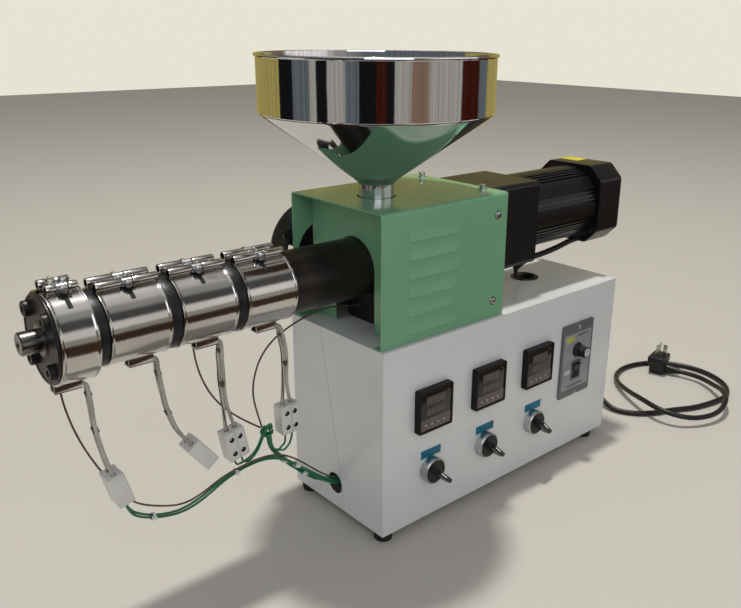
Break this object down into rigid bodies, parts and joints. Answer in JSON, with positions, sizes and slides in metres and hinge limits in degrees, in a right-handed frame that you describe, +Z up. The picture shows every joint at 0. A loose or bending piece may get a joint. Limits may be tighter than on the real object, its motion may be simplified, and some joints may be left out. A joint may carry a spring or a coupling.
{
  "type": "desktop filament extruder",
  "caption": "Desktop extruder with a feed hopper, a barrel with band heaters, a finned gearmotor and a sheet-metal cabinet with temperature controls.",
  "frame": {"origin": "middle of the footprint of the machine without its loose leads, on the table under its feet", "axes": "+X along the barrel from the nozzle to the motor, +Z up, the control face looks to -Y"},
  "size_m": [0.9736, 0.2834, 0.487],
  "materials": {
    "black_casting": "black painted casting",
    "black_steel": "blackened steel",
    "block_ceramic": "white porcelain",
    "cabinet_paint": "white-grey semi-gloss powder coat",
    "cable_black": "black rubber sheath",
    "controller_plastic": "black moulded plastic with a dark window",
    "fan_plastic": "black moulded plastic",
    "foot_rubber": "black moulded rubber",
    "green_wire": "green insulated wire",
    "heater_steel": "bright rolled stainless sheet",
    "hood_paint": "mint green gloss paint",
    "hopper_steel": "mirror-polished stainless steel",
    "knob_plastic": "black moulded plastic",
    "lead_sleeve": "woven glass-fibre sleeve",
    "lever_plastic": "black moulded plastic",
    "motor_paint": "satin black paint",
    "panel_grey": "dark grey panel",
    "pin_brass": "plated plug pins",
    "selector_metal": "brushed metal ring",
    "thermocouple_braid": "metal braid over glass fibre",
    "turned_steel": "turned steel"
  },
  "bodies": {
    "frame": {"band_heater_1": "heater_steel", "band_heater_2": "heater_steel", "band_heater_3": "heater_steel", "band_heater_4": "heater_steel", "barrel_tube": "black_steel", "cabinet_base": "cabinet_paint", "cabinet_front_shell": "cabinet_paint", "cabinet_rear_shell": "cabinet_paint", "controller_1": "controller_plastic", "controller_2": "controller_plastic", "controller_3": "controller_plastic", "cooling_fan": "fan_plastic", "cord_gland": "cable_black", "die_flange": "black_steel", "feed_housing": "black_casting", "feet": "foot_rubber", "gearbox": "motor_paint", "green_loom_1": "green_wire", "green_loom_2": "green_wire", "heater_lead_1": "lead_sleeve", "heater_lead_2": "lead_sleeve", "heater_lead_3": "lead_sleeve", "heater_lead_4": "lead_sleeve", "hood_cover": "hood_paint", "hood_front_wall": "hood_paint", "hopper": "hopper_steel", "loom_knot": "green_wire", "mains_cord": "cable_black", "mains_plug": "cable_black", "motor_body": "motor_paint", "motor_cable": "cable_black", "motor_fan_cover": "motor_paint", "nozzle": "turned_steel", "pillar_plate": "black_steel", "plug_pins": "pin_brass", "selector_switches": "selector_metal", "spacer_rings": "black_steel", "speed_panel": "panel_grey", "terminal_blocks": "block_ceramic", "thermocouple_1": "thermocouple_braid", "thermocouple_2": "thermocouple_braid", "thermocouple_3": "thermocouple_braid"},
    "selector_1": {"selector_lever_1": "lever_plastic"},
    "selector_2": {"selector_lever_2": "lever_plastic"},
    "selector_3": {"selector_lever_3": "lever_plastic"},
    "knob": {"speed_knob": "knob_plastic"},
    "rocker": {"rocker_switch": "knob_plastic"}
  },
  "joints": [
    {"name": "selector_1_turn", "type": "hinge", "parent": "frame", "child": "selector_1", "pos_m": [0.006, -0.0855, 0.067], "axis": [0, 1, 0], "range_deg": [0, 90]},
    {"name": "selector_2_turn", "type": "hinge", "parent": "frame", "child": "selector_2", "pos_m": [0.09, -0.0855, 0.067], "axis": [0, 1, 0], "range_deg": [0, 90]},
    {"name": "selector_3_turn", "type": "hinge", "parent": "frame", "child": "selector_3", "pos_m": [0.174, -0.0855, 0.067], "axis": [0, 1, 0], "range_deg": [0, 90]},
    {"name": "knob_turn", "type": "hinge", "parent": "frame", "child": "knob", "pos_m": [0.2515, -0.0785, 0.139], "axis": [0, 1, 0], "range_deg": [0, 270]},
    {"name": "rocker_tip", "type": "hinge", "parent": "frame", "child": "rocker", "pos_m": [0.2515, -0.0775, 0.112], "axis": [-1, 0, 0], "range_deg": [0, 9]}
  ]
}
